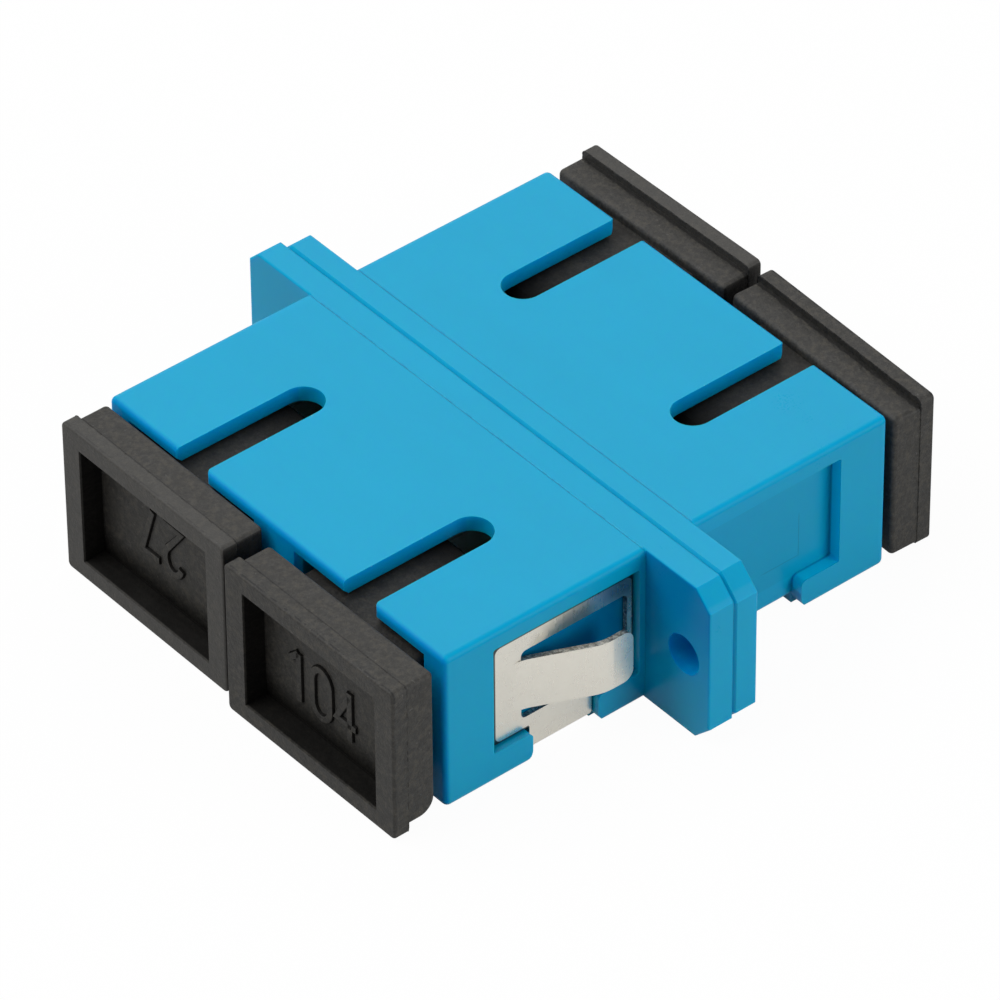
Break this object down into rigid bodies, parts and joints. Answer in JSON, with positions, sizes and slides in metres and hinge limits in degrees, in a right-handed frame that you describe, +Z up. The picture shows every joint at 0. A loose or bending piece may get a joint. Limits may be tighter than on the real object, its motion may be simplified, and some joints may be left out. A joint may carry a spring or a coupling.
{
  "type": "duplex fibre optic adapter",
  "caption": "Flanged rectangular bulkhead adapter that joins duplex fibre connectors end to end, with keyed ports, a spring panel clip and pull-off dust caps.",
  "frame": {"origin": "on the base plane, under the middle of the flange seam where the two housing halves meet", "axes": "+X along the flange to the right ear, +Y out of the rear ports along the fibre axis, +Z up, keyways on top"},
  "size_m": [0.0346, 0.0344, 0.0093],
  "materials": {
    "blue_plastic": "satin moulded",
    "black_plastic": "matte, finely speckled",
    "spring_steel": "satin rolled",
    "holder_plastic": "natural moulded",
    "ceramic": "ground ceramic"
  },
  "bodies": {
    "adapter": {"housing_front": "blue_plastic", "housing_rear": "blue_plastic", "panel_clip": "spring_steel", "split_sleeve_left": "ceramic", "split_sleeve_right": "ceramic", "latch_holder_front_left": "holder_plastic", "latch_holder_front_right": "holder_plastic", "latch_holder_rear_left": "holder_plastic", "latch_holder_rear_right": "holder_plastic"},
    "dust_cap_front_left": {"dust_cap_front_left": "black_plastic"},
    "dust_cap_front_right": {"dust_cap_front_right": "black_plastic"},
    "dust_cap_rear_left": {"dust_cap_rear_left": "black_plastic"},
    "dust_cap_rear_right": {"dust_cap_rear_right": "black_plastic"}
  },
  "joints": [
    {"name": "front_left_cap_pull", "type": "slide", "parent": "adapter", "child": "dust_cap_front_left", "axis": [0, -1, 0], "range_m": [0, 0.012]},
    {"name": "front_right_cap_pull", "type": "slide", "parent": "adapter", "child": "dust_cap_front_right", "axis": [0, -1, 0], "range_m": [0, 0.012]},
    {"name": "rear_left_cap_pull", "type": "slide", "parent": "adapter", "child": "dust_cap_rear_left", "axis": [0, 1, 0], "range_m": [0, 0.012]},
    {"name": "rear_right_cap_pull", "type": "slide", "parent": "adapter", "child": "dust_cap_rear_right", "axis": [0, 1, 0], "range_m": [0, 0.012]}
  ]
}
